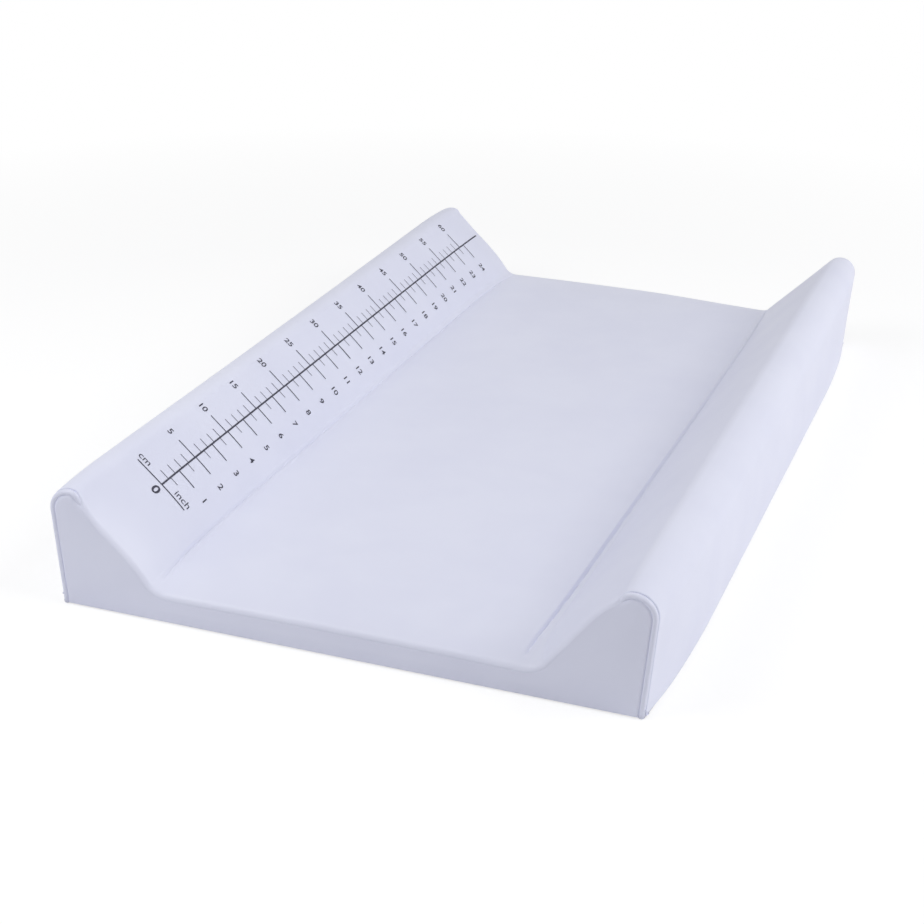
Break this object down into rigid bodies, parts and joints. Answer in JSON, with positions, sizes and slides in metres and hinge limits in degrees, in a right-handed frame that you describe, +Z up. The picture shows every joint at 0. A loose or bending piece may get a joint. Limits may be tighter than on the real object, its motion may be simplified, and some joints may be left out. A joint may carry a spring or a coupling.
{
  "type": "changing pad",
  "caption": "Contoured baby changing pad: a flat padded floor between two raised foam sides in a wipe-clean white vinyl cover, with a length scale on one inner slope.",
  "frame": {"origin": "middle of the underside", "axes": "+Z up, +Y along the pad from the end where the scale starts to the far end, +X across it towards the plain side"},
  "size_m": [0.424, 0.734, 0.086],
  "materials": {
    "vinyl": "smooth satin vinyl sheet, cool white",
    "underside": "matt vinyl sheet with a fine emboss",
    "foam": "open-cell polyurethane foam"
  },
  "bodies": {
    "root": {"base_panel": "underside", "foam_slab": "foam", "foam_wedge_left": "foam", "foam_wedge_right": "foam", "top_cover": "vinyl", "end_panel_front": "vinyl", "end_panel_rear": "vinyl", "welt_front_left": "vinyl", "welt_front_right": "vinyl", "welt_rear_left": "vinyl", "welt_rear_right": "vinyl"}
  },
  "joints": []
}
